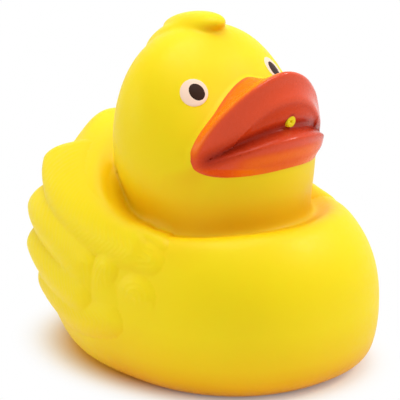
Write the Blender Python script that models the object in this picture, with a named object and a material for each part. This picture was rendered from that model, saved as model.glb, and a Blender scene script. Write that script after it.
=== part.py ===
# Rubber bath duck: one hollow shell of soft vinyl, moulded whole and painted.
#
# The duck faces -Y and stands on z = 0 over the origin. Lengths are in metres.
# Its form is a blend of round masses: chest, rump and tail below, cheeks, crown
# and throat above, sunk into a collar in the body's top. Feathers are raised on
# both flanks and a tuft lies on the crown. The bill is a pair of lips round a
# shallow mouth, and a small air hole in the mouth opens the hollow. Places are
# given as (side, ahead, up): side is +X, ahead is the way the duck faces, up is
# +Z. Places on the head are given from the head's centre, in the head's own
# tilted frame.

import math

import bmesh
import bpy
import numpy as np

# Body: centre and radii of each mass
chest_centre = (0.0, 0.0054, 0.0143)
chest_radii = (0.0311, 0.0342, 0.0288)
rump_centre = (0.0, -0.0176, 0.0243)
rump_radii = (0.0245, 0.0261, 0.0209)
body_squareness = 2.25
body_blend = 0.020
base_edge_round = 0.0056
base_snap = 0.00002

# Collar: the hollow in the body's top that the head sits in
collar_centre = (0.0, 0.0042, 0.0450)
collar_radii = (0.0253, 0.0248, 0.0224)
collar_round = 0.004

# Tail: a broad flat lobe that sweeps up and back
tail_centre = (0.0, -0.0249, 0.0358)
tail_radii = (0.0107, 0.0153, 0.0043)
tail_rise = 52.5
tail_blend = 0.010

# Head: wide cheeks, a rounder crown, the throat below them and the neck
# that fills the collar under the throat
head_centre = (0.0, 0.0007, 0.0498)
head_tilt = 10.0
cheek_centre = (0.0, 0.0015, -0.0031)
cheek_radii = (0.0202, 0.0225, 0.0138)
crown_centre = (0.0, -0.0017, 0.0060)
crown_radii = (0.0206, 0.0144, 0.0184)
head_blend = 0.010
throat_centre = (0.0, 0.0042, 0.0390)
throat_radii = (0.0196, 0.0200, 0.0142)
throat_blend = 0.006
neck_centre = (0.0, 0.0042, 0.0313)
neck_radii = (0.0200, 0.0200, 0.0130)
neck_blend = 0.0040

# Tuft: a front and a back lock that overlap on the crown
front_lock_centre = (0.0008, -0.0023, 0.0239)
front_lock_radii = (0.0046, 0.0090, 0.0029)
front_lock_rise = 2.0
back_lock_centre = (-0.0022, -0.0078, 0.0211)
back_lock_radii = (0.0042, 0.0074, 0.0029)
back_lock_rise = 26.0
lock_crease = 0.0008
tuft_crease = 0.0016

# Bill: outline of the lips seen from the front, and of its root on the face
lips_half_width = 0.0173
root_half_width = 0.0169
corner_up = -0.0010
upper_lip_up = 0.0141
upper_root_up = 0.0124
upper_lip_squareness = 1.85
upper_root_squareness = 1.50
upper_lip_depth = 0.0080
lower_lip_up = -0.0069
lower_root_up = -0.0090
lower_lip_squareness = 2.3
lower_lip_depth = 0.0040
bill_root_ahead = 0.0060
bill_crease = 0.0010
lip_round = 0.0016
lips_steepness = 0.85

# Bill: how far the lips stand ahead at the corners and in the middle
corner_ahead = 0.0138
upper_lip_ahead = 0.0268
upper_lip_bow = 1.3
lower_lip_ahead = 0.0270
lower_lip_bow = 1.25
lower_lip_slant = 0.60

# Mouth: its line and the crest of the lower lip, at the corners and in the middle
mouth_corner_up = -0.0036
mouth_line_up = 0.0030
crest_corner_up = -0.0044
crest_up = -0.0006
crest_round = 0.0008
mouth_depth = 0.0026
mouth_crease_height = 0.0015
palate_depth = 0.0010
palate_half_width = 0.0118
palate_up = 0.0073
palate_slope = 0.0014
lip_dish = 0.0009
mouth_floor_bow = 1.5
air_hole_side = 0.0009
air_hole_diameter = 0.0012
air_hole_sides = 12

# Eyes: low round swellings that carry the paint
eye_centre = (0.0117, 0.0103, 0.0119)
eye_roll = 3.0
eye_diameter = 0.0060
pupil_diameter = 0.0040
eye_swell = 0.0003

# Wing feathers, each as root, middle and tip, half width, lift at the root and
# lift at the tip. A place is (way round the flank, up), where 0 round is the
# duck's side and negative places lie toward the tail.
flight_feathers = (
    ((0.0115, 0.0325), (-0.0079, 0.0354), (-0.0314, 0.0410), 0.0054, 0.0010, 0.0031),
    ((-0.0031, 0.0255), (-0.0115, 0.0280), (-0.0278, 0.0306), 0.0052, 0.0011, 0.0027),
    ((-0.0021, 0.0175), (-0.0115, 0.0190), (-0.0246, 0.0222), 0.0047, 0.0011, 0.0023),
    ((0.0073, 0.0150), (-0.0052, 0.0126), (-0.0199, 0.0148), 0.0042, 0.0008, 0.0014),
)
cover_feathers = (
    ((-0.0068, 0.0180), (-0.0065, 0.0210), (-0.0063, 0.0236), 0.0031, 0.0004, 0.0009),
    ((-0.0016, 0.0165), (-0.0008, 0.0215), (-0.0005, 0.0256), 0.0035, 0.0005, 0.0011),
    ((0.0068, 0.0190), (0.0052, 0.0225), (0.0058, 0.0262), 0.0037, 0.0004, 0.0011),
    ((0.0079, 0.0295), (0.0115, 0.0302), (0.0162, 0.0300), 0.0034, 0.0010, 0.0007),
    ((0.0131, 0.0170), (0.0136, 0.0200), (0.0141, 0.0222), 0.0044, 0.0002, 0.0010),
    ((0.0099, 0.0340), (0.0141, 0.0346), (0.0183, 0.0332), 0.0018, 0.0007, 0.0003),
)
wing_axis_ahead = -0.0050
wing_chart_radius = 0.0300
feather_sharpness = 5.0
feather_reach = 0.0050
spine_steps = 8

# Shell
wall = 0.0018
hollow_blend = 0.0065

# Paints: base colour and roughness
vinyl_paint = ("vinyl_yellow", (0.88, 0.66, 0.02), 0.45)
bill_paint = ("bill_red", (0.66, 0.06, 0.02), 0.25)
eye_paint = ("eye_white", (0.86, 0.72, 0.58), 0.35)
pupil_paint = ("pupil_brown", (0.04, 0.015, 0.008), 0.3)

# Fineness of the mesh: cells and triangles of both skins, the rounds that bring
# points onto a form, how far a point may leave its cell's middle and how far
# apart slopes are taken, both in cells, and the room round the duck
outer_cell = 0.0010
outer_triangles = 8200
inner_cell = 0.0016
inner_triangles = 1800
diagonal_passes = 3
settling_rounds = 4
settling_reach = 0.7
slope_reach = 0.05
room = 0.0040


def join(a, b, reach):
    """Union of two signed distances with a fillet."""
    near = np.maximum(reach - np.abs(a - b), 0.0) / reach
    return np.minimum(a, b) - near * near * reach / 4.0


def trim(a, b, reach):
    """Common part of two signed distances with a rounded edge."""
    return -join(-a, -b, reach)


def egg(place, centre, radii, power=2.0):
    """Signed distance, near the surface, to an ellipsoid or a squarer one."""
    share = (np.abs(place - np.array(centre)) + 1e-7) / np.array(radii)
    size = (share ** power).sum(-1) ** (1.0 / power)
    slope = share ** (power - 1.0) / np.array(radii) * (size ** (1.0 - power))[..., None]
    return (size - 1.0) / np.sqrt((slope * slope).sum(-1))


def tilted(place, centre, degrees):
    """Places seen from a frame at centre whose ahead axis is lifted."""
    turn = math.radians(degrees)
    side, ahead, up = np.moveaxis(place - np.array(centre), -1, 0)
    along = ahead * math.cos(turn) + up * math.sin(turn)
    across = up * math.cos(turn) - ahead * math.sin(turn)
    return np.stack([side, along, across], -1)


def feather_lift(around, up, feather):
    """Height of one feather over the flank: a rounded ridge along an arc."""
    root, middle, tip, half_width, root_lift, tip_lift = feather
    t = np.linspace(0.0, 1.0, spine_steps + 1)
    spine = [r * (1 - t) * (1 - 2 * t) + m * 4 * t * (1 - t) + e * t * (2 * t - 1)
             for r, m, e in zip(root, middle, tip)]
    spine = np.stack(spine, -1)
    gap = np.full(around.shape, 1.0)
    travel = np.zeros(around.shape)
    for step in range(spine_steps):
        run = spine[step + 1] - spine[step]
        off_around = around - spine[step][0]
        off_up = up - spine[step][1]
        share = np.clip((off_around * run[0] + off_up * run[1]) / (run @ run), 0.0, 1.0)
        here = np.hypot(off_around - share * run[0], off_up - share * run[1])
        travel = np.where(here < gap, (step + share) / spine_steps, travel)
        gap = np.minimum(gap, here)
    lift = root_lift + (tip_lift - root_lift) * travel ** 2
    return lift * np.clip(1.0 - (gap / half_width) ** 2, 0.0, 1.0)


def wing_lift(place):
    """Height of all the feathers over the flank at each place."""
    side, ahead, up = np.moveaxis(place, -1, 0)
    angle = np.arctan2(ahead - wing_axis_ahead, np.abs(side))
    around = angle * wing_chart_radius
    total = np.zeros(around.shape)
    for feather in flight_feathers + cover_feathers:
        total += feather_lift(around, up, feather) ** feather_sharpness
    return total ** (1.0 / feather_sharpness)


def torso(place):
    chest = egg(place, chest_centre, chest_radii, body_squareness)
    rump = egg(place, rump_centre, rump_radii, body_squareness)
    tail = egg(tilted(place, tail_centre, -tail_rise), (0.0, 0.0, 0.0), tail_radii)
    body = join(chest, rump, body_blend)
    body = trim(body, -egg(place, collar_centre, collar_radii), collar_round)
    return join(body, tail, tail_blend)


def skull(head_place):
    cheeks = egg(head_place, cheek_centre, cheek_radii)
    crown = egg(head_place, crown_centre, crown_radii)
    return join(cheeks, crown, head_blend)


def throat(place):
    return egg(place, throat_centre, throat_radii)


def neck(place):
    return egg(place, neck_centre, neck_radii)


def eased(value, low, high):
    """0 below low, 1 above high and a smooth slope between."""
    t = np.clip((value - low) / (high - low), 0.0, 1.0)
    return t * t * (3.0 - 2.0 * t)


def lips_front(side, up):
    """How far ahead the lips and the mouth stand at each side and height."""
    bulge = np.sqrt(np.maximum(1.0 - (side / lips_half_width) ** 2, 0.001))
    upper = corner_ahead + (upper_lip_ahead - corner_ahead) * bulge ** upper_lip_bow
    lower = corner_ahead + (lower_lip_ahead - corner_ahead) * bulge ** lower_lip_bow
    line = mouth_corner_up + (mouth_line_up - mouth_corner_up) * bulge
    crest = crest_corner_up + (crest_up - crest_corner_up) * bulge
    top = corner_up + (upper_lip_up - corner_up) * bulge
    arch = np.sqrt(np.maximum(1.0 - (side / palate_half_width) ** 2, 0.0))
    arch = line + (palate_up - mouth_line_up) * arch
    palate = palate_depth * (1.0 - eased(up, arch - palate_slope, arch + palate_slope))
    dish = lip_dish * np.sin(math.pi * np.clip((up - arch) / (top - arch), 0.0, 1.0))
    rise = np.maximum(up - line, 0.0) / mouth_crease_height
    drop = np.clip((line - up) / (line - crest), 0.0, 1.0)
    crease = (mouth_depth - palate_depth) * np.exp(-rise ** 2)
    floor = mouth_depth * (1.0 - drop ** mouth_floor_bow)
    dip = np.where(up > line, palate + dish + crease, floor)
    under = crest - up
    slant = lower_lip_slant * (under + np.hypot(under, crest_round)) / 2
    return upper + (lower - upper) * eased(drop, 0.0, 1.0) - dip * np.sqrt(bulge) - slant


def bill(head_place):
    side, ahead, up = np.moveaxis(head_place, -1, 0)
    back = np.maximum(lips_front(side, up) - ahead, 0.0)
    above = up > corner_up
    depth = np.where(above, upper_lip_depth, lower_lip_depth)
    share = eased(back / depth, 0.0, 1.0)
    lip_height = np.where(above, upper_lip_up - corner_up, corner_up - lower_lip_up)
    root_height = np.where(above, upper_root_up - corner_up, corner_up - lower_root_up)
    height = lip_height + (root_height - lip_height) * share
    width = lips_half_width + (root_half_width - lips_half_width) * share
    upper_power = upper_lip_squareness + (upper_root_squareness - upper_lip_squareness) * share
    power = np.where(above, upper_power, lower_lip_squareness)
    share_side = np.abs(side) / width + 1e-6
    share_up = np.abs(up - corner_up) / height + 1e-6
    size = (share_side ** power + share_up ** power) ** (1.0 / power)
    slope = np.hypot(share_side ** (power - 1.0) / width,
                     share_up ** (power - 1.0) / height) * size ** (1.0 - power)
    outline = (size - 1.0) / slope
    front = (ahead - lips_front(side, up)) * lips_steepness
    return np.maximum(trim(outline, front, lip_round), bill_root_ahead - ahead)


def eyes(head_place):
    """Distance to the rim of the nearer eye, negative on the eye."""
    side, ahead, up = np.moveaxis(head_place, -1, 0)
    turn = math.radians(eye_roll)
    level_side = side * math.cos(turn) + up * math.sin(turn)
    level_up = up * math.cos(turn) - side * math.sin(turn)
    mirrored = np.stack([np.abs(level_side), ahead, level_up], -1)
    return np.sqrt(((mirrored - np.array(eye_centre)) ** 2).sum(-1)) - eye_diameter / 2


def duck(place):
    """Signed distance to the outer skin, near it."""
    head_place = tilted(place, head_centre, head_tilt)
    head = skull(head_place)
    near = np.abs(head) < feather_reach
    front_lock = egg(tilted(head_place, front_lock_centre, front_lock_rise),
                     (0.0, 0.0, 0.0), front_lock_radii)
    back_lock = egg(tilted(head_place, back_lock_centre, back_lock_rise),
                    (0.0, 0.0, 0.0), back_lock_radii)
    head = join(head, join(front_lock, back_lock, lock_crease), tuft_crease)
    swell = np.clip(-eyes(head_place) / (eye_diameter / 2), 0.0, 1.0)
    head = head - eye_swell * np.sqrt(swell) * near
    head = join(join(head, throat(place), throat_blend), neck(place), neck_blend)
    body = torso(place)
    near = np.abs(body) < feather_reach
    body[near] -= wing_lift(place[near])
    body = trim(body, -place[..., 2], base_edge_round)
    whole = join(head, body, neck_blend)
    return join(whole, bill(head_place), bill_crease)


def hollow(place):
    """Signed distance to the inside: head and body thinned by the wall."""
    head = join(skull(tilted(place, head_centre, head_tilt)), throat(place), throat_blend)
    head = join(head, neck(place), hollow_blend)
    body = trim(torso(place), -place[..., 2], base_edge_round)
    return join(head, body, hollow_blend) + wall


def slope_of(form, place, step):
    """Gradient of a form by central differences."""
    parts = []
    for axis in range(3):
        shift = np.zeros(3)
        shift[axis] = step
        parts.append((form(place + shift) - form(place - shift)) / (2 * step))
    return np.stack(parts, -1)


def softened(values):
    """Values averaged with their neighbours, so that no fold is under a cell."""
    for axis in range(3):
        after = np.roll(values, 1, axis)
        before = np.roll(values, -1, axis)
        values = values / 2 + after / 4 + before / 4
    return values


def cube_corners(grid):
    """The eight corner values of every cube of a grid, opposite corners in pairs."""
    span = (slice(0, -1), slice(1, None))
    order = ((0, 0, 0), (1, 1, 1), (0, 0, 1), (1, 1, 0), (0, 1, 0), (1, 0, 1), (1, 0, 0), (0, 1, 1))
    return [grid[span[i], span[j], span[k]] for i, j, k in order]


def fill_diagonals(inside):
    """Fill squares and cubes that touch only corner to corner, so no skin meets itself."""
    corners = cube_corners(inside)
    for _ in range(diagonal_passes):
        count = sum(corner.astype(int) for corner in corners)
        touching = np.zeros(count.shape, bool)
        for a, b in zip(corners[::2], corners[1::2]):
            touching |= (a & b & (count == 2)) | (~a & ~b & (count == 6))
        for corner in corners:
            corner |= touching
        for axis in range(3):
            layers = np.moveaxis(inside, axis, 0)
            a, b = layers[:, :-1, :-1], layers[:, 1:, :-1]
            c, d = layers[:, :-1, 1:], layers[:, 1:, 1:]
            diagonal = (a & d & ~b & ~c) | (b & c & ~a & ~d)
            for square in (a, b, c, d):
                square |= diagonal


def skin(form, cell, low, high):
    """Points and four-sided faces over the level zero of a form."""
    axes = [np.arange(a, b + cell, cell) for a, b in zip(low, high)]
    grid = np.stack(np.meshgrid(*axes, indexing="ij"), -1)
    inside = softened(form(grid)) < 0.0
    fill_diagonals(inside)
    corner_sum = sum(corner.astype(int) for corner in cube_corners(inside))
    crossed = (corner_sum > 0) & (corner_sum < 8)
    number = np.full(crossed.shape, -1)
    number[crossed] = np.arange(crossed.sum())
    middles = np.array(low) + (np.argwhere(crossed) + 0.5) * cell
    points = middles
    reach = cell * settling_reach
    for _ in range(settling_rounds):
        slope = slope_of(form, points, cell * slope_reach)
        step = form(points)[:, None] * slope / ((slope * slope).sum(-1) + 1e-9)[:, None]
        points = middles + np.clip(points - step - middles, -reach, reach)
    faces = []
    for axis in range(3):
        other = [a for a in range(3) if a != axis]
        before = [slice(1, None)] * 3
        before[axis] = slice(0, -1)
        before = inside[tuple(before)]
        after = inside[1:, 1:, 1:]
        leaving = before & ~after
        entering = ~before & after
        for change, flip in ((leaving, axis == 1), (entering, axis != 1)):
            spots = np.argwhere(change)
            spots[:, other[0]] += 1
            spots[:, other[1]] += 1
            loop = []
            for da, db in ((0, 0), (-1, 0), (-1, -1), (0, -1)):
                cell_place = spots.copy()
                cell_place[:, other[0]] += da
                cell_place[:, other[1]] += db
                loop.append(number[tuple(cell_place.T)])
            face = np.stack(loop, -1)
            faces.append(face[:, ::-1] if flip else face)
    return points, np.concatenate(faces)


def build_mesh(name, points, faces, target_triangles):
    """Mesh object from a skin, thinned where it is smooth."""
    places = points * np.array([1.0, -1.0, 1.0])
    data = bpy.data.meshes.new(name)
    data.from_pydata(places.tolist(), [], faces[:, ::-1].tolist())
    data.update()
    shape = bmesh.new()
    shape.from_mesh(data)
    bmesh.ops.triangulate(shape, faces=shape.faces)
    triangles = len(shape.faces)
    shape.to_mesh(data)
    shape.free()
    thing = bpy.data.objects.new(name, data)
    bpy.context.collection.objects.link(thing)
    thin = thing.modifiers.new("thin", "DECIMATE")
    thin.ratio = target_triangles / triangles
    thin.use_collapse_triangulate = True
    return thing


def applied(thing):
    """The object's mesh with its modifiers worked in."""
    seen = thing.evaluated_get(bpy.context.evaluated_depsgraph_get())
    data = bpy.data.meshes.new_from_object(seen)
    thing.modifiers.clear()
    thing.data = data
    return thing


def box_of(margin):
    """Corners of a box that holds the whole duck, from its masses."""
    reach_side = max(chest_radii[0], rump_radii[0]) + margin
    reach_back = max(rump_radii[1] - rump_centre[1], tail_radii[1] - tail_centre[1]) + margin
    reach_ahead = max(chest_centre[1] + chest_radii[1], head_centre[1] + lower_lip_ahead) + margin
    reach_up = head_centre[2] + max(crown_centre[2] + crown_radii[2], upper_lip_up) + margin
    return (-reach_side, -reach_back, -margin), (reach_side, reach_ahead, reach_up)


def colour(name, base, roughness):
    material = bpy.data.materials.new(name)
    material.use_nodes = True
    surface = material.node_tree.nodes["Principled BSDF"]
    surface.inputs["Base Color"].default_value = (*base, 1.0)
    surface.inputs["Roughness"].default_value = roughness
    surface.inputs["Metallic"].default_value = 0.0
    return material


def air_hole():
    """Rod from before the mouth to well inside the hollow."""
    turn = math.radians(head_tilt)
    start = float(lips_front(air_hole_side, mouth_line_up)) + mouth_depth
    rod_length = start - cheek_radii[1] / 2
    middle = start - rod_length / 2
    rod = bpy.data.meshes.new("air_hole_cutter")
    shape = bmesh.new()
    bmesh.ops.create_cone(shape, cap_ends=True, segments=air_hole_sides, depth=rod_length,
                          radius1=air_hole_diameter / 2, radius2=air_hole_diameter / 2)
    shape.to_mesh(rod)
    shape.free()
    cutter = bpy.data.objects.new("air_hole_cutter", rod)
    bpy.context.collection.objects.link(cutter)
    along = middle * math.cos(turn) - mouth_line_up * math.sin(turn)
    across = middle * math.sin(turn) + mouth_line_up * math.cos(turn)
    cutter.location = (air_hole_side, -(head_centre[1] + along), head_centre[2] + across)
    cutter.rotation_euler = (math.pi / 2 - turn, 0.0, 0.0)
    return cutter


def cut(thing, cutter, name):
    cutter.hide_render = True
    cutter.display_type = "WIRE"
    trim_away = thing.modifiers.new(name, "BOOLEAN")
    trim_away.operation = "DIFFERENCE"
    trim_away.object = cutter


def head_places(points):
    """Places on the head's frame for points of a mesh."""
    return tilted(points * np.array([1.0, -1.0, 1.0]), head_centre, head_tilt)


def paint(thing):
    """Give each face its paint by where it lies on the head."""
    for name, base, roughness in (vinyl_paint, bill_paint, eye_paint, pupil_paint):
        thing.data.materials.append(colour(name, base, roughness))
    centres = np.array([face.center for face in thing.data.polygons])
    spots = head_places(centres)
    face_points = centres * np.array([1.0, -1.0, 1.0])
    on_bill = bill(spots) < np.minimum(skull(spots), throat(face_points)) - bill_crease / 4
    eye = eyes(spots) + eye_diameter / 2
    for face, red, gap in zip(thing.data.polygons, on_bill, eye):
        if red:
            face.material_index = 1
        elif gap < pupil_diameter / 2:
            face.material_index = 3
        elif gap < eye_diameter / 2:
            face.material_index = 2


def clear_scene():
    for thing in list(bpy.data.objects):
        bpy.data.objects.remove(thing)


def stand_over_origin(thing):
    """Flatten the base onto z = 0 and centre the duck's box over the origin."""
    spots = np.array([corner.co for corner in thing.data.vertices])
    middle = (spots[:, 1].min() + spots[:, 1].max()) / 2
    for corner in thing.data.vertices:
        corner.co.y -= middle
        if abs(corner.co.z) < base_snap:
            corner.co.z = 0.0


def build():
    clear_scene()
    low, high = box_of(room)
    duck_object = applied(build_mesh("duck", *skin(duck, outer_cell, low, high), outer_triangles))
    inside = applied(build_mesh("hollow_cutter", *skin(hollow, inner_cell, low, high), inner_triangles))
    cut(duck_object, inside, "hollow")
    cut(duck_object, air_hole(), "air hole")
    applied(duck_object)
    paint(duck_object)
    stand_over_origin(duck_object)
    duck_object.data.shade_smooth()


build()
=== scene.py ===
# Rubber bath duck: soft yellow vinyl, a painted bill and painted eyes, on a pale floor.
# The duck is worked out as one smooth form, skinned, and split where one coat ends and
# the next begins. Places are (side, ahead, up) in millimetres of the duck as packed;
# toFrame turns them into the frame's metres, where the duck faces -Y.

import math
import bpy
import numpy as np
from mathutils import Matrix, Vector


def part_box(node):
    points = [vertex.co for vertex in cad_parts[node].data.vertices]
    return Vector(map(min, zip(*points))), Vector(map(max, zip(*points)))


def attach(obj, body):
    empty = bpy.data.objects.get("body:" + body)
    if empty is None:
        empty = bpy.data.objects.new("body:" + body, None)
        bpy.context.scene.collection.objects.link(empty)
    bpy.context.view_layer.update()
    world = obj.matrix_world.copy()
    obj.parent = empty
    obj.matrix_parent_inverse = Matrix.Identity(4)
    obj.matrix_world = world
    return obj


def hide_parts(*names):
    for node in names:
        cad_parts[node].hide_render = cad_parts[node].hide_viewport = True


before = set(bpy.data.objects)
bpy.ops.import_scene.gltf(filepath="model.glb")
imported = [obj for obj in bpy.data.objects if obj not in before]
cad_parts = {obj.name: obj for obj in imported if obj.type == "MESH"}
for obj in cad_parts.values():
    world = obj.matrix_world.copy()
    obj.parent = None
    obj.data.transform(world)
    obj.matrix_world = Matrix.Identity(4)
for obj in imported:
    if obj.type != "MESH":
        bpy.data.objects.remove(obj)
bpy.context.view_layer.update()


lowCorner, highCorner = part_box("duck")
formHeight = 76.4   # height of the duck in the units of the dictionaries below
unit = (highCorner.z - lowCorner.z) / formHeight

body = {
    "chest": ((0.0, 5.4, 14.3), (31.1, 34.2, 28.8)),
    "rump": ((0.0, -17.6, 24.3), (24.5, 26.1, 20.9)),
    "squareness": 2.25,
    "blend": 20.0,
    "baseRound": 5.6,
    "collar": ((0.0, 4.2, 45.0), (25.3, 24.8, 22.4)),
    "collarRound": 6.5,
    "tail": ((0.0, -24.9, 35.8), (10.7, 15.3, 4.3)),
    "tailRise": 52.5,
    "tailBlend": 10.0,
}

head = {
    "centre": (0.0, 0.7, 49.8),
    "tilt": 10.0,
    "cheeks": ((0.0, 1.5, -3.1), (20.2, 22.5, 13.8)),
    "crown": ((0.0, -1.7, 6.0), (20.6, 14.4, 18.4)),
    "blend": 10.0,
    "throat": ((0.0, 4.2, 39.0), (19.0, 19.6, 14.2)),
    "throatBlend": 6.0,
    "neck": ((0.0, 4.2, 31.3), (19.2, 19.4, 12.6)),
    "neckBlend": 3.6,
    # locks of the tuft: centre, radii and rise in degrees
    "locks": (((0.8, -2.3, 23.9), (4.6, 9.0, 2.9), 2.0),
              ((-2.2, -7.8, 21.1), (4.2, 7.4, 2.9), 26.0)),
    "lockCrease": 0.8,
    "tuftCrease": 1.6,
}

billSizes = {
    "lipsHalfWidth": 17.8,
    "rootHalfWidth": 17.3,
    "cornerUp": -2.6,
    "upperLipUp": 14.1,
    "upperRootUp": 12.4,
    "upperLipPower": 1.72,
    "upperRootPower": 1.50,
    "upperDepth": 8.0,
    "lowerLipUp": -6.9,
    "lowerRootUp": -9.0,
    "lowerPower": 2.3,
    "lowerDepth": 4.0,
    "rootAhead": 6.0,
    "crease": 1.0,
    "lipRound": 1.6,
    "steepness": 0.85,
    "cornerAhead": 13.8,
    "upperAhead": 26.8,
    "upperBow": 1.3,
    "lowerAhead": 27.0,
    "lowerBow": 1.25,
    "lowerSlant": 0.58,
}

mouth = {
    "cornerUp": -3.0,
    "lineUp": 2.2,
    "lineBow": 2.0,
    "crestCornerUp": -4.2,
    "crestUp": -0.6,
    "crestBow": 1.3,
    "crestRound": 1.1,
    "closed": (0.15, 0.85),   # near the corners the mouth has no depth
    "depth": 2.6,
    "creaseHeight": 1.5,
    "palateDepth": 1.0,
    "palateHalfWidth": 11.8,
    "palateUp": 7.3,
    "palateSlope": 1.4,
    "dish": 0.9,
}

eye = {
    "centre": (11.7, 10.3, 11.9),
    "roll": 3.0,
    "width": 6.0,
    "tall": 1.10,
    "swell": 0.3,
    "pupilShift": (-0.5, 0.3, -0.05),
    "pupilAxis": (0.0, 0.60, -0.80),
    "pupilLong": 4.3,
    "pupilShort": 3.3,
}

# Feathers: root, middle and tip as (way round the flank, up), half width, lift at root and at tip
wing = {
    "flight": (((11.5, 31.2), (-7.9, 33.9), (-31.4, 40.5), 4.6, 0.9, 3.1),
               ((-3.1, 25.5), (-11.5, 28.0), (-27.8, 30.6), 5.2, 1.1, 2.7),
               ((-2.1, 17.5), (-11.5, 19.0), (-24.6, 22.2), 4.7, 1.1, 2.3),
               ((7.3, 15.0), (-5.2, 12.6), (-19.9, 14.8), 4.2, 0.8, 1.4)),
    "covers": (((-6.8, 18.0), (-6.5, 21.0), (-6.3, 23.6), 3.1, 0.3, 0.8),
               ((-1.6, 16.5), (-0.8, 21.5), (-0.5, 25.6), 3.5, 0.3, 0.9),
               ((6.8, 19.0), (5.2, 22.5), (5.8, 26.2), 3.7, 0.3, 0.9),
               ((7.9, 29.5), (11.5, 30.2), (16.2, 30.0), 3.4, 0.7, 0.6),
               ((13.1, 17.0), (13.6, 20.0), (14.1, 22.2), 4.4, 0.1, 0.8),
               ((9.9, 34.0), (14.1, 34.6), (18.3, 33.2), 1.8, 0.5, 0.3)),
    "axisAhead": -5.0,
    "chartRadius": 30.0,
    "sharpness": 5.0,
    "reach": 5.0,
    "steps": 8,
    "barbSlant": 0.9,
    "coverBarbRun": (0.3, 1.2),   # along and off a cover's spine
    "flightBarbs": 0.15,          # how strongly the long feathers show theirs
    "barbsFrom": (0.25, 0.8),     # lift at which barbs begin, and show in full
}

mesh = {"cell": 0.52, "quickCell": 1.0, "margin": 4.0, "rounds": 3, "stray": 0.7}


# The form: every function gives the distance to a surface, below zero inside

def joined(a, b, reach):
    near = np.maximum(reach - np.abs(a - b), 0.0) / reach
    return np.minimum(a, b) - near * near * reach / 4.0


def trimmed(a, b, reach):
    return -joined(-a, -b, reach)


def egg(place, shape, power=2.0):
    centre, radii = shape
    share = (np.abs(place - np.array(centre)) + 1e-4) / np.array(radii)
    size = (share ** power).sum(-1) ** (1.0 / power)
    slope = share ** (power - 1.0) / np.array(radii) * (size ** (1.0 - power))[..., None]
    return (size - 1.0) / np.sqrt((slope * slope).sum(-1))


def tilted(place, centre, degrees):
    turn = math.radians(degrees)
    side, ahead, up = np.moveaxis(place - np.array(centre), -1, 0)
    return np.stack([side, ahead * math.cos(turn) + up * math.sin(turn),
                     up * math.cos(turn) - ahead * math.sin(turn)], -1)


def onHead(place):
    return tilted(place, head["centre"], head["tilt"])


def eased(value, low, high):
    t = np.clip((value - low) / (high - low), 0.0, 1.0)
    return t * t * (3.0 - 2.0 * t)


def featherLift(around, up, feather):
    root, middle, tip, halfWidth, rootLift, tipLift = feather
    steps = wing["steps"]
    t = np.linspace(0.0, 1.0, steps + 1)
    spine = [r * (1 - t) * (1 - 2 * t) + m * 4 * t * (1 - t) + e * t * (2 * t - 1)
             for r, m, e in zip(root, middle, tip)]
    spine = np.stack(spine, -1)
    gap = np.full(around.shape, 1000.0)
    travel = np.zeros(around.shape)
    for step in range(steps):
        run = spine[step + 1] - spine[step]
        offAround = around - spine[step][0]
        offUp = up - spine[step][1]
        share = np.clip((offAround * run[0] + offUp * run[1]) / (run @ run), 0.0, 1.0)
        here = np.hypot(offAround - share * run[0], offUp - share * run[1])
        travel = np.where(here < gap, (step + share) / steps, travel)
        gap = np.minimum(gap, here)
    lift = rootLift + (tipLift - rootLift) * travel ** 2
    # beside the lift, how far along and off its spine each place is
    length = np.hypot(*(spine[1:] - spine[:-1]).T).sum()
    return lift * np.clip(1.0 - (gap / halfWidth) ** 2, 0.0, 1.0), travel * length, gap


def onFlank(place):
    side, ahead, up = np.moveaxis(place, -1, 0)
    return np.arctan2(ahead - wing["axisAhead"], np.abs(side)) * wing["chartRadius"], up


def wingLift(place):
    around, up = onFlank(place)
    total = np.zeros(around.shape)
    for feather in wing["flight"] + wing["covers"]:
        total += featherLift(around, up, feather)[0] ** wing["sharpness"]
    return total ** (1.0 / wing["sharpness"])


def torso(place):
    chest = egg(place, body["chest"], body["squareness"])
    rump = egg(place, body["rump"], body["squareness"])
    tailCentre, tailRadii = body["tail"]
    tail = egg(tilted(place, tailCentre, -body["tailRise"]), ((0.0, 0.0, 0.0), tailRadii))
    whole = joined(chest, rump, body["blend"])
    whole = trimmed(whole, -egg(place, body["collar"]), body["collarRound"])
    return joined(whole, tail, body["tailBlend"])


def skull(headPlace):
    return joined(egg(headPlace, head["cheeks"]), egg(headPlace, head["crown"]), head["blend"])


def lipsBulge(side):   # 1 in the middle of the lips and 0 at their corners
    return np.sqrt(np.maximum(1.0 - (side / billSizes["lipsHalfWidth"]) ** 2, 0.001))


def mouthLine(bulge):
    return mouth["cornerUp"] + (mouth["lineUp"] - mouth["cornerUp"]) * bulge ** mouth["lineBow"]


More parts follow.
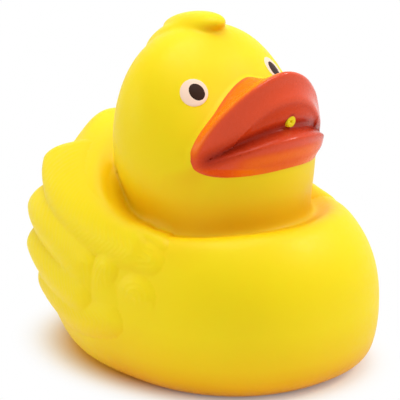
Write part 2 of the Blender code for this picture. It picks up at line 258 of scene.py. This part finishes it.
def lipsFront(side, up):
    b, m = billSizes, mouth
    bulge = lipsBulge(side)
    upper = b["cornerAhead"] + (b["upperAhead"] - b["cornerAhead"]) * bulge ** b["upperBow"]
    lower = b["cornerAhead"] + (b["lowerAhead"] - b["cornerAhead"]) * bulge ** b["lowerBow"]
    line = mouthLine(bulge)
    crest = m["crestCornerUp"] + (m["crestUp"] - m["crestCornerUp"]) * bulge ** m["crestBow"]
    opened = eased(bulge, *m["closed"])
    top = b["cornerUp"] + (b["upperLipUp"] - b["cornerUp"]) * bulge
    arch = np.sqrt(np.maximum(1.0 - (side / m["palateHalfWidth"]) ** 2, 0.0))
    arch = line + (m["palateUp"] - m["lineUp"]) * arch
    palate = m["palateDepth"] * (1.0 - eased(up, arch - m["palateSlope"], arch + m["palateSlope"]))
    dish = m["dish"] * np.sin(math.pi * np.clip((up - arch) / (top - arch), 0.0, 1.0))
    rise = np.maximum(up - line, 0.0) / m["creaseHeight"]
    drop = np.clip((line - up) / (line - crest), 0.0, 1.0)
    crease = (m["depth"] - m["palateDepth"]) * np.exp(-rise ** 2)
    floorDip = m["depth"] * (1.0 - eased(drop, 0.0, 1.0))
    dip = np.where(up > line, palate + dish + crease, floorDip)
    under = crest - up
    slant = b["lowerSlant"] * (under + np.hypot(under, m["crestRound"])) / 2
    return upper + (lower - upper) * eased(drop, 0.0, 1.0) - dip * opened - slant


def billForm(headPlace):
    b = billSizes
    side, ahead, up = np.moveaxis(headPlace, -1, 0)
    front = lipsFront(side, up)
    above = up > b["cornerUp"]
    share = eased(np.maximum(front - ahead, 0.0) / np.where(above, b["upperDepth"], b["lowerDepth"]),
                  0.0, 1.0)
    lipHeight = np.where(above, b["upperLipUp"] - b["cornerUp"], b["cornerUp"] - b["lowerLipUp"])
    rootHeight = np.where(above, b["upperRootUp"] - b["cornerUp"], b["cornerUp"] - b["lowerRootUp"])
    height = lipHeight + (rootHeight - lipHeight) * share
    width = b["lipsHalfWidth"] + (b["rootHalfWidth"] - b["lipsHalfWidth"]) * share
    upperPower = b["upperLipPower"] + (b["upperRootPower"] - b["upperLipPower"]) * share
    power = np.where(above, upperPower, b["lowerPower"])
    shareSide = np.abs(side) / width + 1e-6
    shareUp = np.abs(up - b["cornerUp"]) / height + 1e-6
    size = (shareSide ** power + shareUp ** power) ** (1.0 / power)
    slope = np.hypot(shareSide ** (power - 1.0) / width,
                     shareUp ** (power - 1.0) / height) * size ** (1.0 - power)
    outline = (size - 1.0) / slope
    return np.maximum(trimmed(outline, (ahead - front) * b["steepness"], b["lipRound"]),
                      b["rootAhead"] - ahead)


def eyePlace(headPlace):   # from the middle of the nearer eye
    side, ahead, up = np.moveaxis(headPlace, -1, 0)
    turn = math.radians(eye["roll"])
    levelSide = side * math.cos(turn) + up * math.sin(turn)
    levelUp = up * math.cos(turn) - side * math.sin(turn)
    return np.stack([np.abs(levelSide), ahead, levelUp], -1) - np.array(eye["centre"])


def eyeForm(headPlace):
    off = eyePlace(headPlace) / np.array((1.0, 1.0, eye["tall"]))
    return np.sqrt((off ** 2).sum(-1)) - eye["width"] / 2


def pupilForm(headPlace):
    off = eyePlace(headPlace) - np.array(eye["pupilShift"])
    axis = np.array(eye["pupilAxis"]) / np.linalg.norm(eye["pupilAxis"])
    along = off @ axis
    across = np.sqrt(np.maximum((off ** 2).sum(-1) - along ** 2, 0.0))
    return (np.hypot(along / eye["pupilLong"], across / eye["pupilShort"]) * 2 - 1) * eye["pupilShort"] / 2


def faceForm(place):
    return np.minimum(skull(onHead(place)), egg(place, head["throat"]))


def duckForm(place):
    headPlace = onHead(place)
    skullForm = skull(headPlace)
    near = np.abs(skullForm) < wing["reach"]
    front, back = (egg(tilted(headPlace, centre, rise), ((0.0, 0.0, 0.0), radii))
                   for centre, radii, rise in head["locks"])
    top = joined(skullForm, joined(front, back, head["lockCrease"]), head["tuftCrease"])
    swell = np.clip(-eyeForm(headPlace) / (eye["width"] / 2), 0.0, 1.0)
    top = top - eye["swell"] * np.sqrt(swell) * near
    top = joined(top, egg(place, head["throat"]), head["throatBlend"])
    top = joined(top, egg(place, head["neck"]), head["neckBlend"])
    low = torso(place)
    near = np.abs(low) < wing["reach"]
    low[near] -= wingLift(place[near])
    low = trimmed(low, -place[..., 2], body["baseRound"])
    whole = joined(top, low, head["neckBlend"])
    return joined(whole, billForm(headPlace), billSizes["crease"])


# The skin: points on the form and triangles between them

def slopeOf(form, place, step):
    parts = []
    for axis in range(3):
        shift = np.zeros(3)
        shift[axis] = step
        parts.append((form(place + shift) - form(place - shift)) / (2 * step))
    return np.stack(parts, -1)


def skinOf(form, cell, low, high):
    axes = [np.arange(a, b + cell, cell) for a, b in zip(low, high)]
    values = np.concatenate([form(np.stack(np.meshgrid([x], axes[1], axes[2], indexing="ij"), -1))
                             for x in axes[0]])
    inside = values < 0.0
    count = [n - 1 for n in inside.shape]
    cornerSum = np.zeros(count, int)
    for i in (0, 1):
        for j in (0, 1):
            for k in (0, 1):
                cornerSum += inside[i:i + count[0], j:j + count[1], k:k + count[2]]
    crossed = (cornerSum > 0) & (cornerSum < 8)
    number = np.full(count, -1)
    number[crossed] = np.arange(crossed.sum())
    middles = np.array(low) + (np.argwhere(crossed) + 0.5) * cell
    points = middles
    for _ in range(mesh["rounds"]):
        slope = slopeOf(form, points, cell / 20)
        step = form(points)[:, None] * slope / ((slope * slope).sum(-1) + 1e-9)[:, None]
        points = middles + np.clip(points - step - middles, -cell * mesh["stray"], cell * mesh["stray"])
    squares = []
    for axis in range(3):
        others = [a for a in range(3) if a != axis]
        before = [slice(1, None)] * 3
        after = [slice(1, None)] * 3
        before[axis] = slice(0, -1)
        leaving = inside[tuple(before)] & ~inside[tuple(after)]
        entering = ~inside[tuple(before)] & inside[tuple(after)]
        for change, flip in ((leaving, axis != 1), (entering, axis == 1)):
            spots = np.argwhere(change)
            spots[:, others[0]] += 1
            spots[:, others[1]] += 1
            loop = []
            for da, db in ((0, 0), (-1, 0), (-1, -1), (0, -1)):
                place = spots.copy()
                place[:, others[0]] += da
                place[:, others[1]] += db
                loop.append(number[tuple(place.T)])
            square = np.stack(loop, -1)
            squares.append(square[:, ::-1] if flip else square)
    squares = np.concatenate(squares)
    return points, np.concatenate([squares[:, (0, 1, 2)], squares[:, (0, 2, 3)]])


# Cuts triangles where the values change sign: the part below zero, then the rest
def splitAlong(points, triangles, values):
    below = values < 0.0
    count = below[triangles].sum(1)
    inner = [triangles[count == 3]]
    outer = [triangles[count == 0]]
    added = {}
    fresh = []

    def onEdge(a, b):
        key = (min(a, b), max(a, b))
        if key not in added:
            share = values[a] / (values[a] - values[b])
            added[key] = len(points) + len(fresh)
            fresh.append(points[a] + (points[b] - points[a]) * share)
        return added[key]

    for triangle in triangles[(count == 1) | (count == 2)]:
        marks = below[triangle]
        lone = int(np.argmax(marks if marks.sum() == 1 else ~marks))
        a, b, c = (int(triangle[(lone + n) % 3]) for n in range(3))
        ab, ac = onEdge(a, b), onEdge(a, c)
        alone, pair = ([(a, ab, ac)], [(ab, b, c), (ab, c, ac)])
        (inner if below[a] else outer).append(np.array(alone))
        (outer if below[a] else inner).append(np.array(pair))
    allPoints = np.concatenate([points, np.array(fresh).reshape(-1, 3)])
    return allPoints, np.concatenate(inner), np.concatenate(outer)


def toFrame(place):
    place = np.atleast_2d(place)
    return np.stack([place[:, 0], -place[:, 1] + shiftY, place[:, 2]], -1) * unit


def offHead(headPlace):   # places on the head back to places on the duck
    turn = math.radians(head["tilt"])
    side, ahead, up = np.moveaxis(headPlace, -1, 0)
    along = ahead * math.cos(turn) - up * math.sin(turn)
    across = ahead * math.sin(turn) + up * math.cos(turn)
    return np.stack([side, along, across], -1) + np.array(head["centre"])


def placed(name, data):
    piece = bpy.data.objects.new(name, data)
    bpy.context.scene.collection.objects.link(piece)
    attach(piece, "root")
    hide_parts("duck")
    return piece


def makePiece(name, points, triangles, marks, material):
    used, triangles = np.unique(triangles, return_inverse=True)
    triangles = triangles.reshape(-1, 3)
    place = points[used]
    data = bpy.data.meshes.new(name)
    data.from_pydata(toFrame(place).tolist(), [], triangles.tolist())
    for label, value in marks.items():
        layer = data.attributes.new(label, "FLOAT", "POINT")
        layer.data.foreach_set("value", value(place).astype(np.float32))
    data.shade_smooth()
    slope = surfaceSlope(place) * np.array([1.0, -1.0, 1.0])
    data.normals_split_custom_set_from_vertices(slope.tolist())
    data.materials.append(material)
    print(name, len(triangles), "triangles")
    return placed(name, data)


def linear(red, green, blue):
    return tuple((v / 255 / 12.92 if v <= 10 else ((v / 255 + 0.055) / 1.055) ** 2.4)
                 for v in (red, green, blue)) + (1.0,)


def newMaterial(name):
    material = bpy.data.materials.new(name)
    material.use_nodes = True
    return material, material.node_tree, material.node_tree.nodes["Principled BSDF"]


def node(tree, kind, values=None, **settings):
    made = tree.nodes.new(kind)
    for key, value in settings.items():
        setattr(made, key, value)
    for key, value in (values or {}).items():
        made.inputs[key].default_value = value
    return made


# Cloudy variation and fine grain of moulded or painted vinyl
def mottleGroup():
    tree = bpy.data.node_groups.new("vinylMottle", "ShaderNodeTree")
    for label, kind in (("Cloud Scale", "NodeSocketFloat"), ("Grain Scale", "NodeSocketFloat")):
        tree.interface.new_socket(label, in_out="INPUT", socket_type=kind)
    for label in ("Cloud", "Grain", "Height"):
        tree.interface.new_socket(label, in_out="OUTPUT", socket_type="NodeSocketFloat")
    start = node(tree, "NodeGroupInput")
    end = node(tree, "NodeGroupOutput")
    place = node(tree, "ShaderNodeTexCoord")
    cloud = node(tree, "ShaderNodeTexNoise", {"Detail": 3.0, "Roughness": 0.5})
    grain = node(tree, "ShaderNodeTexNoise", {"Detail": 2.0, "Roughness": 0.6})
    pits = node(tree, "ShaderNodeTexVoronoi", {"Randomness": 1.0})
    mix = node(tree, "ShaderNodeMath", {1: 0.35}, operation="MULTIPLY_ADD")
    for texture, scale in ((cloud, "Cloud Scale"), (grain, "Grain Scale"), (pits, "Grain Scale")):
        tree.links.new(place.outputs["Object"], texture.inputs["Vector"])
        tree.links.new(start.outputs[scale], texture.inputs["Scale"])
    tree.links.new(pits.outputs["Distance"], mix.inputs[0])
    tree.links.new(grain.outputs["Fac"], mix.inputs[2])
    tree.links.new(cloud.outputs["Fac"], end.inputs["Cloud"])
    tree.links.new(grain.outputs["Fac"], end.inputs["Grain"])
    tree.links.new(mix.outputs[0], end.inputs["Height"])
    return tree


# Grain goes to roughness and bump; the cloud is left for the colour
def finish(tree, shader, mottle, look, relief=None):
    effect = node(tree, "ShaderNodeGroup", node_tree=mottle)
    effect.inputs["Cloud Scale"].default_value = look["cloudScale"] / (unit * 1000)
    effect.inputs["Grain Scale"].default_value = look["grainScale"] / (unit * 1000)
    rough = node(tree, "ShaderNodeMapRange", {"From Min": 0.3, "From Max": 0.7,
                                              "To Min": look["roughness"][0], "To Max": look["roughness"][1]})
    bump = node(tree, "ShaderNodeBump", {"Strength": look["bump"], "Distance": 0.0002 * unit * 1000})
    tree.links.new(effect.outputs["Grain"], rough.inputs["Value"])
    tree.links.new(rough.outputs["Result"], shader.inputs["Roughness"])
    height = effect.outputs["Height"]
    if relief is not None:
        total = node(tree, "ShaderNodeMath", operation="ADD")
        tree.links.new(height, total.inputs[0])
        tree.links.new(relief, total.inputs[1])
        height = total.outputs[0]
    tree.links.new(height, bump.inputs["Height"])
    tree.links.new(bump.outputs["Normal"], shader.inputs["Normal"])
    shader.inputs["IOR"].default_value = 1.5
    shader.inputs["Specular IOR Level"].default_value = look["shine"]
    shader.inputs["Coat Weight"].default_value = look.get("coat", 0.0)
    shader.inputs["Coat Roughness"].default_value = look.get("coatRoughness", 0.1)
    return effect


def mixColours(tree, fac, first, second):
    mix = node(tree, "ShaderNodeMix", data_type="RGBA")
    tree.links.new(fac, mix.inputs[0])
    for socket, colour in ((mix.inputs[6], first), (mix.inputs[7], second)):
        if isinstance(colour, tuple):
            socket.default_value = colour
        else:
            tree.links.new(colour, socket)
    return mix.outputs[2]


vinylLook = {
    # the third colour is orange painted shade, for folds and undersides where light has bounced off yellow
    # vinyl
    "colour": (255, 229, 14), "deep": (254, 223, 10), "paintedFoldShade": (240, 166, 0),
    "paintedShadeSteps": ((2.5, 0.16), (7.0, 0.34), (16.0, 0.50)),   # how far to look, and its share
    # less painted shade on up-facing surfaces and towards the back, where the lamps fall
    "paintedShadeShare": 0.9, "openUpward": 0.35, "openBehind": 0.6, "behind": (-6.0, 8.0),
    "cloudScale": 60.0, "grainScale": 900.0,
    "roughness": (0.38, 0.52), "bump": 0.10, "shine": 0.2,
    "glow": 0.22, "glowReach": (0.0060, 0.0030, 0.0006),
    "barbPitch": 1.5, "barbHeight": 6.0,
}

billLook = {
    "red": (236, 76, 28), "dark": (172, 44, 22), "orange": (252, 120, 14), "cloudShade": 0.94,
    "grazed": (0.10, 0.55), "facing": (-1.2, -0.3), "under": (0.25, 0.60), "underWide": (9.0, 15.0),
    "grazedBelow": 0.5, "palateEdge": 0.4,
    "darkAbove": 1.7, "darkUnder": 1.7, "darkBack": 1.0, "darkCorner": (0.10, 0.45), "palateShare": 0.30,
    "cloudScale": 120.0, "grainScale": 700.0,
    "roughness": (0.22, 0.32), "bump": 0.10, "shine": 0.14, "coat": 0.45, "coatRoughness": 0.08,
    "coatGone": 0.3,   # mark at which the coat has faded out
}

eyeLook = {
    "white": (255, 228, 206), "shade": (252, 216, 190), "brown": (34, 14, 4), "edge": (60, 32, 14),
    "cloudScale": 200.0, "grainScale": 900.0,
    "roughness": (0.34, 0.46), "bump": 0.08, "shine": 0.12,
}


def markOf(tree, name):
    return node(tree, "ShaderNodeAttribute", attribute_name=name).outputs["Fac"]


# Fine barbs on the feathers: a wave over each feather's run, as high as the mark says
def barbRelief(tree):
    turns = node(tree, "ShaderNodeMath", {1: 2 * math.pi / vinylLook["barbPitch"]}, operation="MULTIPLY")
    wave = node(tree, "ShaderNodeMath", operation="SINE")
    strong = node(tree, "ShaderNodeMath", {1: vinylLook["barbHeight"]}, operation="MULTIPLY")
    raised = node(tree, "ShaderNodeMath", operation="MULTIPLY")
    tree.links.new(markOf(tree, "barbRun"), turns.inputs[0])
    tree.links.new(turns.outputs[0], wave.inputs[0])
    tree.links.new(markOf(tree, "barbShare"), strong.inputs[0])
    tree.links.new(wave.outputs[0], raised.inputs[0])
    tree.links.new(strong.outputs[0], raised.inputs[1])
    return raised.outputs[0]


def vinylMaterial(name, mottle, marked):
    material, tree, shader = newMaterial(name)
    effect = finish(tree, shader, mottle, vinylLook, barbRelief(tree) if marked else None)
    colour = mixColours(tree, effect.outputs["Cloud"],
                        linear(*vinylLook["deep"]), linear(*vinylLook["colour"]))
    # orange painted shade and painted bounce light in folds and under the body
    if marked:
        colour = mixColours(tree, markOf(tree, "paintedShade"), colour, linear(*vinylLook["paintedFoldShade"]))
    tree.links.new(colour, shader.inputs["Base Color"])
    shader.inputs["Subsurface Weight"].default_value = vinylLook["glow"]
    reaches = [reach * unit * 1000 for reach in vinylLook["glowReach"]]
    shader.inputs["Subsurface Radius"].default_value = reaches
    shader.inputs["Subsurface Scale"].default_value = 1.0
    return material


def billMaterial(mottle):
    material, tree, shader = newMaterial("redBillPaint")
    effect = finish(tree, shader, mottle, billLook)
    tone = mixColours(tree, effect.outputs["Cloud"], linear(*billLook["red"]),
                      linear(*[v * billLook["cloudShade"] for v in billLook["red"]]))
    # orange where the paint is thin, partly a painted reflection of the yellow vinyl
    tone = mixColours(tree, markOf(tree, "thinPaintAndReflection"), tone, linear(*billLook["orange"]))
    # dark red painted shade along the mouth, on the palate and as a painted shadow ring round the air hole
    tone = mixColours(tree, markOf(tree, "paintedMouthShade"), tone, linear(*billLook["dark"]))
    tree.links.new(tone, shader.inputs["Base Color"])
    # duller along the painted mouth shade and where the paint is thin or the yellow reflection is painted
    matt = node(tree, "ShaderNodeMath", operation="ADD")
    coat = node(tree, "ShaderNodeMapRange", {"From Max": billLook["coatGone"],
                                             "To Min": billLook["coat"], "To Max": 0.0})
    tree.links.new(markOf(tree, "paintedMouthShade"), matt.inputs[0])
    tree.links.new(markOf(tree, "thinPaintAndReflection"), matt.inputs[1])
    tree.links.new(matt.outputs[0], coat.inputs["Value"])
    tree.links.new(coat.outputs["Result"], shader.inputs["Coat Weight"])
    return material


def eyeMaterial(name, first, second, mottle):
    material, tree, shader = newMaterial(name)
    effect = finish(tree, shader, mottle, eyeLook)
    tone = mixColours(tree, effect.outputs["Cloud"], linear(*eyeLook[first]), linear(*eyeLook[second]))
    tree.links.new(tone, shader.inputs["Base Color"])
    return material


# Marks on the points of a piece that its paint, its painted shade and its painted reflection follow

def surfaceSlope(place):
    slope = slopeOf(duckForm, place, 0.05)
    return slope / (np.linalg.norm(slope, axis=1)[:, None] + 1e-9)


# Painted shade and painted bounce light: 1 in folds and under the body, where light has bounced off yellow
# vinyl before, less where the surface faces up or lies behind
def paintedShade(place):
    slope = surfaceSlope(place)
    total = np.zeros(len(place))
    for reach, weight in vinylLook["paintedShadeSteps"]:
        spot = place + slope * reach
        room = np.minimum(duckForm(spot), spot[:, 2])
        total += weight * np.clip(1.0 - room / reach, 0.0, 1.0)
    total *= 1.0 - vinylLook["openUpward"] * np.maximum(slope[:, 2], 0.0)
    total *= 1.0 - vinylLook["openBehind"] * eased(-place[:, 1], *vinylLook["behind"])
    return np.clip(total, 0.0, 1.0)


# Run across the barbs of the highest feather at each place, or how strongly they show
def barbs(place, wanted):
    around, up = onFlank(place)
    best = np.zeros(len(place))
    run = np.zeros(len(place))
    share = np.zeros(len(place))
    flight = len(wing["flight"])
    for number, feather in enumerate(wing["flight"] + wing["covers"]):
        lift, travel, gap = featherLift(around, up, feather)
        higher = lift > best
        if number < flight:
            acrossBarbs, strength = travel - wing["barbSlant"] * gap, wing["flightBarbs"]
        else:
            alongShare, gapShare = wing["coverBarbRun"]
            acrossBarbs, strength = travel * alongShare + gap * gapShare, 1.0
        run = np.where(higher, acrossBarbs, run)
        share = np.where(higher, strength, share)
        best = np.maximum(best, lift)
    if wanted == "run":
        return run
    onBody = np.abs(torso(place) - wingLift(place)) < wing["reach"]
    return eased(best, *wing["barbsFrom"]) * share * onBody


# 1 where the spray from the front only grazed the bill: behind the upper lip and below. The orange laid there
# is partly thin paint and partly a painted reflection of the yellow vinyl
def thinPaintAndReflection(place):
    slope = tilted(surfaceSlope(place), (0.0, 0.0, 0.0), head["tilt"])
    headPlace = onHead(place)
    graze = 1.0 - eased(slope[:, 1], *billLook["grazed"])
    under = eased(-slope[:, 2], *billLook["under"])
    under *= 1.0 - eased(np.abs(headPlace[:, 0]), *billLook["underWide"])
    side, ahead, up = headPlace.T
    graze *= 1.0 - eased(ahead - lipsFront(side, up), *billLook["facing"])
    upper = eased(up - billSizes["cornerUp"], -1.0, 1.0)
    low = np.maximum(under, graze * billLook["grazedBelow"])
    return np.clip(graze * upper + low * (1.0 - upper), 0.0, 1.0)


# Painted shade: 1 along the mouth line, a share on the recessed palate, and a painted shadow ring round the
# air hole
def paintedMouthShade(place):   # 1 along the line of the mouth
    side, ahead, up = onHead(place).T
    bulge = lipsBulge(side)
    line = mouthLine(bulge)
    above = np.exp(-(np.maximum(up - line, 0.0) / billLook["darkAbove"]) ** 2)
    under = np.exp(-(np.maximum(line - up, 0.0) / billLook["darkUnder"]) ** 2)
    dark = np.where(up > line, above, under) * eased(bulge, *billLook["darkCorner"])
    # painted shade on the recessed palate, below its arch
    arch = line + (mouth["palateUp"] - mouth["lineUp"]) * np.sqrt(
        np.maximum(1.0 - (side / mouth["palateHalfWidth"]) ** 2, 0.0))
    edge = billLook["palateEdge"]
    palate = (1.0 - eased(up, arch - edge, arch + edge)) * (up > line)
    # painted shadow ring round the air hole
    hole = np.hypot(side - airHole["side"], up - airHole["up"])
    ring = np.exp(-((hole - airHole["ringWidth"] / 2) / airHole["shadow"]) ** 2)
    inFront = ahead > lipsFront(side, up) - billLook["darkBack"]
    return np.clip(np.maximum(dark, palate * billLook["palateShare"]) + ring, 0.0, 1.0) * inFront


cell = mesh["cell"]
margin = mesh["margin"]
lowest = (-36.0, -44.0, -margin)
highest = (36.0, 44.0, formHeight + margin)
points, triangles = skinOf(duckForm, cell, lowest, highest)
points[:, 2] = np.maximum(points[:, 2], 0.0)
boxMiddle = (lowCorner.y + highCorner.y) / 2 / unit
shiftY = boxMiddle + (points[:, 1].min() + points[:, 1].max()) / 2
print("skin", len(points), "points", len(triangles), "triangles")

# Ring of bare vinyl round the air hole, where the hole was punched after the paint
airHole = {"side": 0.9, "up": 3.2, "width": 0.6, "ringWidth": 2.4, "proud": 0.10, "deep": 1.6,
           "clearOf": 0.75, "turned": 0.3, "shadow": 0.24, "steps": 28,
           "overlap": 0.25, "sunk": 1.2, "bevel": 0.1, "lipWidth": 0.25, "lipRound": 0.08}


# The plane that best follows the mouth round the hole: its height and two slopes
def holePlane():
    turns, radii = np.meshgrid(np.linspace(0.0, 2 * math.pi, 24, endpoint=False),
                               np.linspace(0.1, 1.0, 5) * airHole["ringWidth"] / 2)
    side, up = (radii * np.cos(turns)).ravel(), (radii * np.sin(turns)).ravel()
    ahead = lipsFront(airHole["side"] + side, airHole["up"] + up)
    sums = np.stack([np.ones(len(side)), side, up], -1)
    plane = np.linalg.lstsq(sums, ahead, rcond=None)[0]
    plane[1:] *= airHole["turned"]
    plane[0] += (ahead - sums @ plane).max() * airHole["clearOf"]
    return plane


def holePlace(turn, radius, lift):
    side, up = radius * np.cos(turn), radius * np.sin(turn)
    height, sideSlope, upSlope = airHole["plane"]
    ahead = height + side * sideSlope + up * upSlope + lift
    return np.stack([airHole["side"] + side, ahead, airHole["up"] + up], -1)


def holeForm(headPlace):
    gap = np.sqrt(((headPlace - holePlace(0.0, 0.0, 0.0)) ** 2).sum(-1))
    return gap - airHole["ringWidth"] / 2 + airHole["overlap"]


def makeAirHole(material):
    rim, bore = airHole["ringWidth"] / 2, airHole["width"] / 2
    proud, deep = airHole["proud"], airHole["deep"]
    profile = ((rim, -airHole["sunk"]), (rim, proud * 0.4), (rim - airHole["bevel"], proud),
               (bore + airHole["lipWidth"], proud), (bore + airHole["lipRound"], proud * 0.7),
               (bore, 0.0), (bore, -deep / 2), (bore, -deep))
    turns = np.linspace(0.0, 2 * math.pi, airHole["steps"], endpoint=False)
    rows = [holePlace(turns, radius, lift) for radius, lift in profile]
    place = np.concatenate(rows + [holePlace(0.0, 0.0, -deep)[None]])
    steps, last = airHole["steps"], len(place) - 1
    faces = []
    for row in range(len(profile) - 1):
        for step in range(steps):
            after = (step + 1) % steps
            a, b = row * steps + step, row * steps + after
            faces.append((a, b, b + steps, a + steps))
    faces += [(last - steps + step, last - steps + (step + 1) % steps, last) for step in range(steps)]
    data = bpy.data.meshes.new("airHole")
    data.from_pydata(toFrame(offHead(place)).tolist(), [], faces)
    data.shade_smooth()
    data.materials.append(material)
    return placed("airHole", data)


airHole["plane"] = holePlane()
points, onBill, rest = splitAlong(points, triangles, billForm(onHead(points)) - faceForm(points))
points, _, onBill = splitAlong(points, onBill, holeForm(onHead(points)))   # the ring covers the gap
points, onPupil, rest = splitAlong(points, rest, pupilForm(onHead(points)))
points, onWhite, rest = splitAlong(points, rest, eyeForm(onHead(points)))
mottle = mottleGroup()
makePiece("duckVinyl", points, rest, {"paintedShade": lambda place: paintedShade(place) * vinylLook["paintedShadeShare"],
                                      "barbRun": lambda place: barbs(place, "run"),
                                      "barbShare": lambda place: barbs(place, "share")},
          vinylMaterial("softYellowVinyl", mottle, True))
print("vinyl shell made")
makePiece("billPaint", points, onBill, {"thinPaintAndReflection": thinPaintAndReflection, "paintedMouthShade": paintedMouthShade},
          billMaterial(mottle))
makeAirHole(vinylMaterial("bareVinyl", mottle, False))
print("bill and air hole made")
makePiece("eyeWhites", points, onWhite, {},
          eyeMaterial("eyeWhitePaint", "white", "shade", mottle))
makePiece("pupils", points, onPupil, {},
          eyeMaterial("pupilPaint", "brown", "edge", mottle))
print("eyes made")

stage = {
    "floorWidth": 3000.0,
    # paintedThroughLight is a painted orange tint of light that comes through the duck, laid on the floor
    # near it; the warm floor colour, seen only near the duck, carries a fainter share of that tint
    "floorColour": (0.97, 0.92, 0.84, 1.0), "paintedThroughLight": (1.0, 0.70, 0.12, 1.0),
    "glow": (0.84, 1.15),       # in the same sizes: where light that comes through the duck tints the floor
    "footHalf": (31.0, 38.0),   # the duck's standing outline, side and lengthways
    "clear": (0.80, 1.28),      # in its sizes: where the floor starts and ends fading to white
    "worldLight": 0.47,
    "lamps": (("topLight", (20.0, 20.0, 620.0), 420.0, 2.0),
              ("keyLight", (330.0, -250.0, 420.0), 180.0, 1.0),
              ("backLight", (-420.0, 380.0, 200.0), 300.0, 0.5)),
}


# Mixes a lit surface with plain white for camera, glossy and transmission rays
def showWhite(tree, lit, white, out, share=None):
    rays = node(tree, "ShaderNodeLightPath")
    seen = node(tree, "ShaderNodeMath", operation="ADD")
    anyRay = node(tree, "ShaderNodeMath", operation="ADD", use_clamp=True)
    blend = node(tree, "ShaderNodeMixShader")
    tree.links.new(rays.outputs["Is Camera Ray"], seen.inputs[0])
    tree.links.new(rays.outputs["Is Glossy Ray"], seen.inputs[1])
    tree.links.new(seen.outputs[0], anyRay.inputs[0])
    tree.links.new(rays.outputs["Is Transmission Ray"], anyRay.inputs[1])
    mask = anyRay.outputs[0]
    if share is not None:
        part = node(tree, "ShaderNodeMath", operation="MULTIPLY")
        tree.links.new(mask, part.inputs[0])
        tree.links.new(share, part.inputs[1])
        mask = part.outputs[0]
    tree.links.new(mask, blend.inputs[0])
    tree.links.new(lit, blend.inputs[1])
    tree.links.new(white, blend.inputs[2])
    tree.links.new(blend.outputs[0], out)


def makeFloor():
    half = stage["floorWidth"] / 2 * unit
    data = bpy.data.meshes.new("floor")
    corners = [(-half, -half, 0), (half, -half, 0), (half, half, 0), (-half, half, 0)]
    data.from_pydata(corners, [], [(0, 1, 2, 3)])
    floor = bpy.data.objects.new("floor", data)
    bpy.context.scene.collection.objects.link(floor)
    floor.location.z = lowCorner.z
    material, tree, shader = newMaterial("paleFloor")
    shader.inputs["Roughness"].default_value = 0.9
    shader.inputs["Specular IOR Level"].default_value = 0.0
    white = node(tree, "ShaderNodeEmission", {"Color": (1, 1, 1, 1), "Strength": 1.0})
    place = node(tree, "ShaderNodeTexCoord")
    shares = [1.0 / (size * unit) for size in stage["footHalf"]]
    footed = node(tree, "ShaderNodeVectorMath", {1: (*shares, 0.0)}, operation="MULTIPLY")
    distance = node(tree, "ShaderNodeVectorMath", operation="LENGTH")
    fade = node(tree, "ShaderNodeMapRange", {"From Min": stage["clear"][0], "From Max": stage["clear"][1]},
                interpolation_type="SMOOTHSTEP")
    tree.links.new(place.outputs["Object"], footed.inputs[0])
    tree.links.new(footed.outputs["Vector"], distance.inputs[0])
    tree.links.new(distance.outputs["Value"], fade.inputs["Value"])
    # painted tint of light through the duck, on the floor near it
    glow = node(tree, "ShaderNodeMapRange", {"From Min": stage["glow"][0], "From Max": stage["glow"][1]})
    tree.links.new(distance.outputs["Value"], glow.inputs["Value"])
    tone = mixColours(tree, glow.outputs["Result"], stage["paintedThroughLight"], stage["floorColour"])
    tree.links.new(tone, shader.inputs["Base Color"])
    showWhite(tree, shader.outputs[0], white.outputs[0], tree.nodes["Material Output"].inputs["Surface"],
              fade.outputs["Result"])
    data.materials.append(material)


def makeWorld():
    world = bpy.data.worlds.new("paleRoom")
    bpy.context.scene.world = world
    world.use_nodes = True
    tree = world.node_tree
    sky = tree.nodes["Background"]
    sky.inputs["Color"].default_value = (1.0, 1.0, 1.0, 1.0)
    sky.inputs["Strength"].default_value = stage["worldLight"]
    white = node(tree, "ShaderNodeBackground", {"Color": (1, 1, 1, 1), "Strength": 1.0})
    showWhite(tree, sky.outputs[0], white.outputs[0], tree.nodes["World Output"].inputs["Surface"])


def areaLight(name, spot, size, power):
    data = bpy.data.lights.new(name, "AREA")
    data.shape = "DISK"
    data.size = size * unit
    data.energy = power * (unit * 1000) ** 2
    lamp = bpy.data.objects.new(name, data)
    lamp.location = Vector(spot) * unit
    aim = Vector((0.0, 0.0, formHeight / 2)) - Vector(spot)
    lamp.rotation_euler = aim.to_track_quat("-Z", "Y").to_euler()
    bpy.context.scene.collection.objects.link(lamp)


makeFloor()
makeWorld()
for lamp in stage["lamps"]:
    areaLight(*lamp)

camera = {"turn": 42.0, "rise": 20.0, "distance": 600.0, "lens": 50.0,
          "pixelsPerMm": 4.45, "originPixel": (209.1, 347.7), "picture": 400.0}
turn, rise = math.radians(camera["turn"]), math.radians(camera["rise"])
back = Vector((-math.sin(turn) * math.cos(rise), -math.cos(turn) * math.cos(rise), math.sin(rise)))
right = Vector((math.cos(turn), -math.sin(turn), 0.0))
upward = back.cross(right)
cameraData = bpy.data.cameras.new("camera")
cameraData.lens = camera["lens"]
cameraData.sensor_width = camera["lens"] * camera["picture"] / camera["pixelsPerMm"] / camera["distance"]
cameraData.shift_x = (camera["picture"] / 2 - camera["originPixel"][0]) / camera["picture"]
cameraData.shift_y = (camera["originPixel"][1] - camera["picture"] / 2) / camera["picture"]
cameraData.clip_start = 0.01
cameraObject = bpy.data.objects.new("camera", cameraData)
spin = Matrix((right, upward, back)).transposed().to_4x4()
spin.translation = (back * camera["distance"] + Vector((0.0, shiftY, 0.0))) * unit
cameraObject.matrix_world = spin
bpy.context.scene.collection.objects.link(cameraObject)
bpy.context.scene.camera = cameraObject
bpy.context.scene.view_settings.view_transform = "Standard"
print("stage, lights and camera set")
